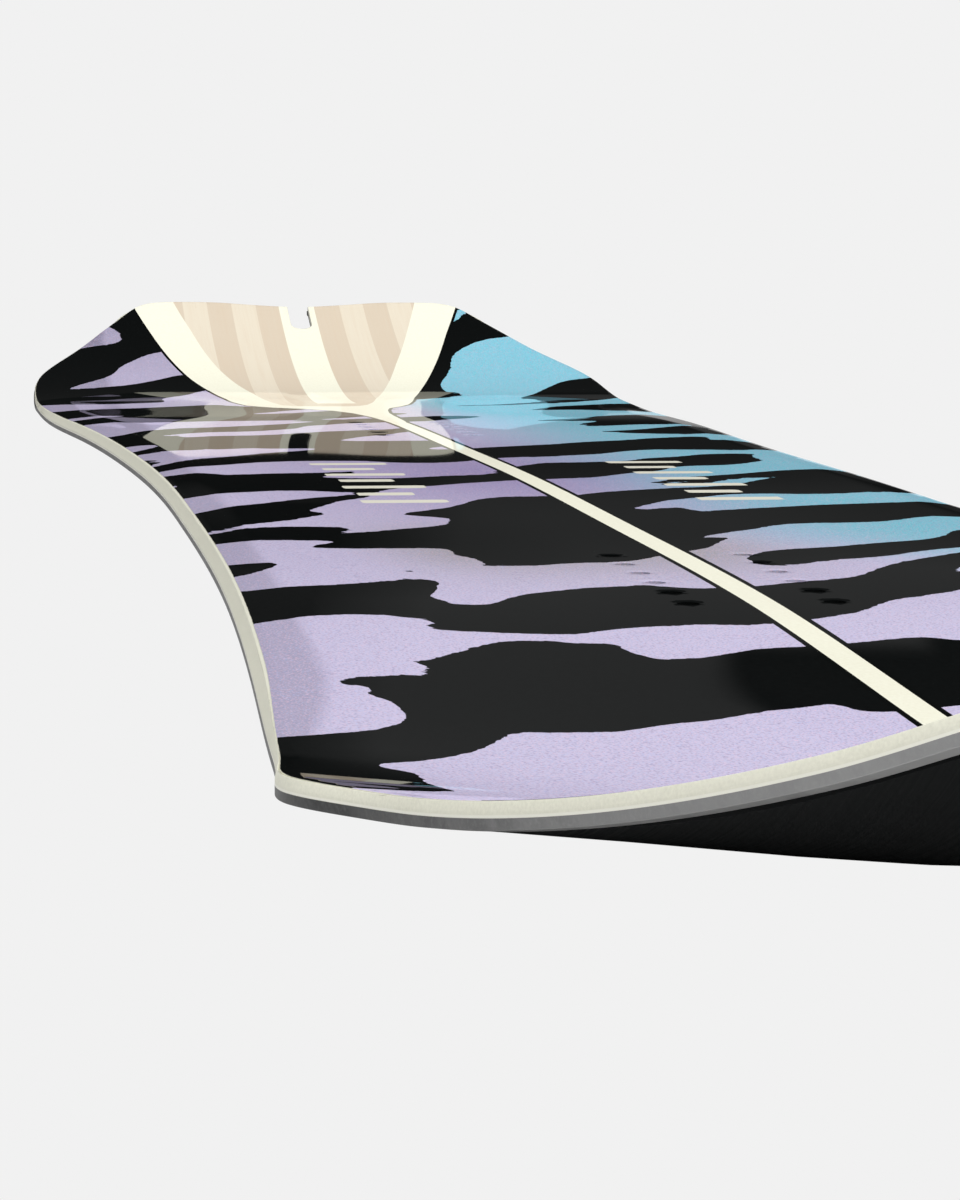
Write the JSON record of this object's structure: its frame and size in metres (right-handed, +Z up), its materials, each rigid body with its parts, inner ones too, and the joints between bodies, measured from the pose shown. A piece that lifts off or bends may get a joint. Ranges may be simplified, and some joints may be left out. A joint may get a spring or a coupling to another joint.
{
  "type": "snowboard",
  "caption": "Bare snowboard with upturned ends, spooned side bases, steel edge, wood core and threaded inserts for bindings.",
  "frame": {"origin": "on the ground below the middle of the board's overall length, on its centre line", "axes": "+Z up out of the deck, +Y along the board towards the nose, +X to the right of someone looking towards the nose"},
  "size_m": [0.3254, 1.5529, 0.0603],
  "materials": {
    "topsheet": "gloss",
    "running_base": "satin",
    "steel": "satin",
    "foil": "matt",
    "laminate": "satin",
    "wood_light": "matt",
    "wood_tan": "matt",
    "sidewall": "satin",
    "insert_steel": "satin"
  },
  "bodies": {
    "root": {"running_base": "running_base", "steel_edge": "steel", "edge_damping_foil": "foil", "lower_glass": "laminate", "upper_glass": "laminate", "topsheet": "topsheet", "tail_inserts": "insert_steel", "nose_inserts": "insert_steel", "sidewall_left": "sidewall", "sidewall_right": "sidewall", "nose_tip_piece": "sidewall", "tail_tip_piece": "sidewall", "core_strip_center": "wood_light", "core_strip_left_1": "wood_tan", "core_strip_left_2": "wood_light", "core_strip_left_3": "wood_tan", "core_strip_left_4": "wood_light", "core_strip_left_5": "wood_tan", "core_strip_left_6": "wood_light", "core_strip_left_7": "wood_tan", "core_strip_left_8": "wood_light", "core_strip_right_1": "wood_tan", "core_strip_right_2": "wood_light", "core_strip_right_3": "wood_tan", "core_strip_right_4": "wood_light", "core_strip_right_5": "wood_tan", "core_strip_right_6": "wood_light", "core_strip_right_7": "wood_tan", "core_strip_right_8": "wood_light"}
  },
  "joints": []
}
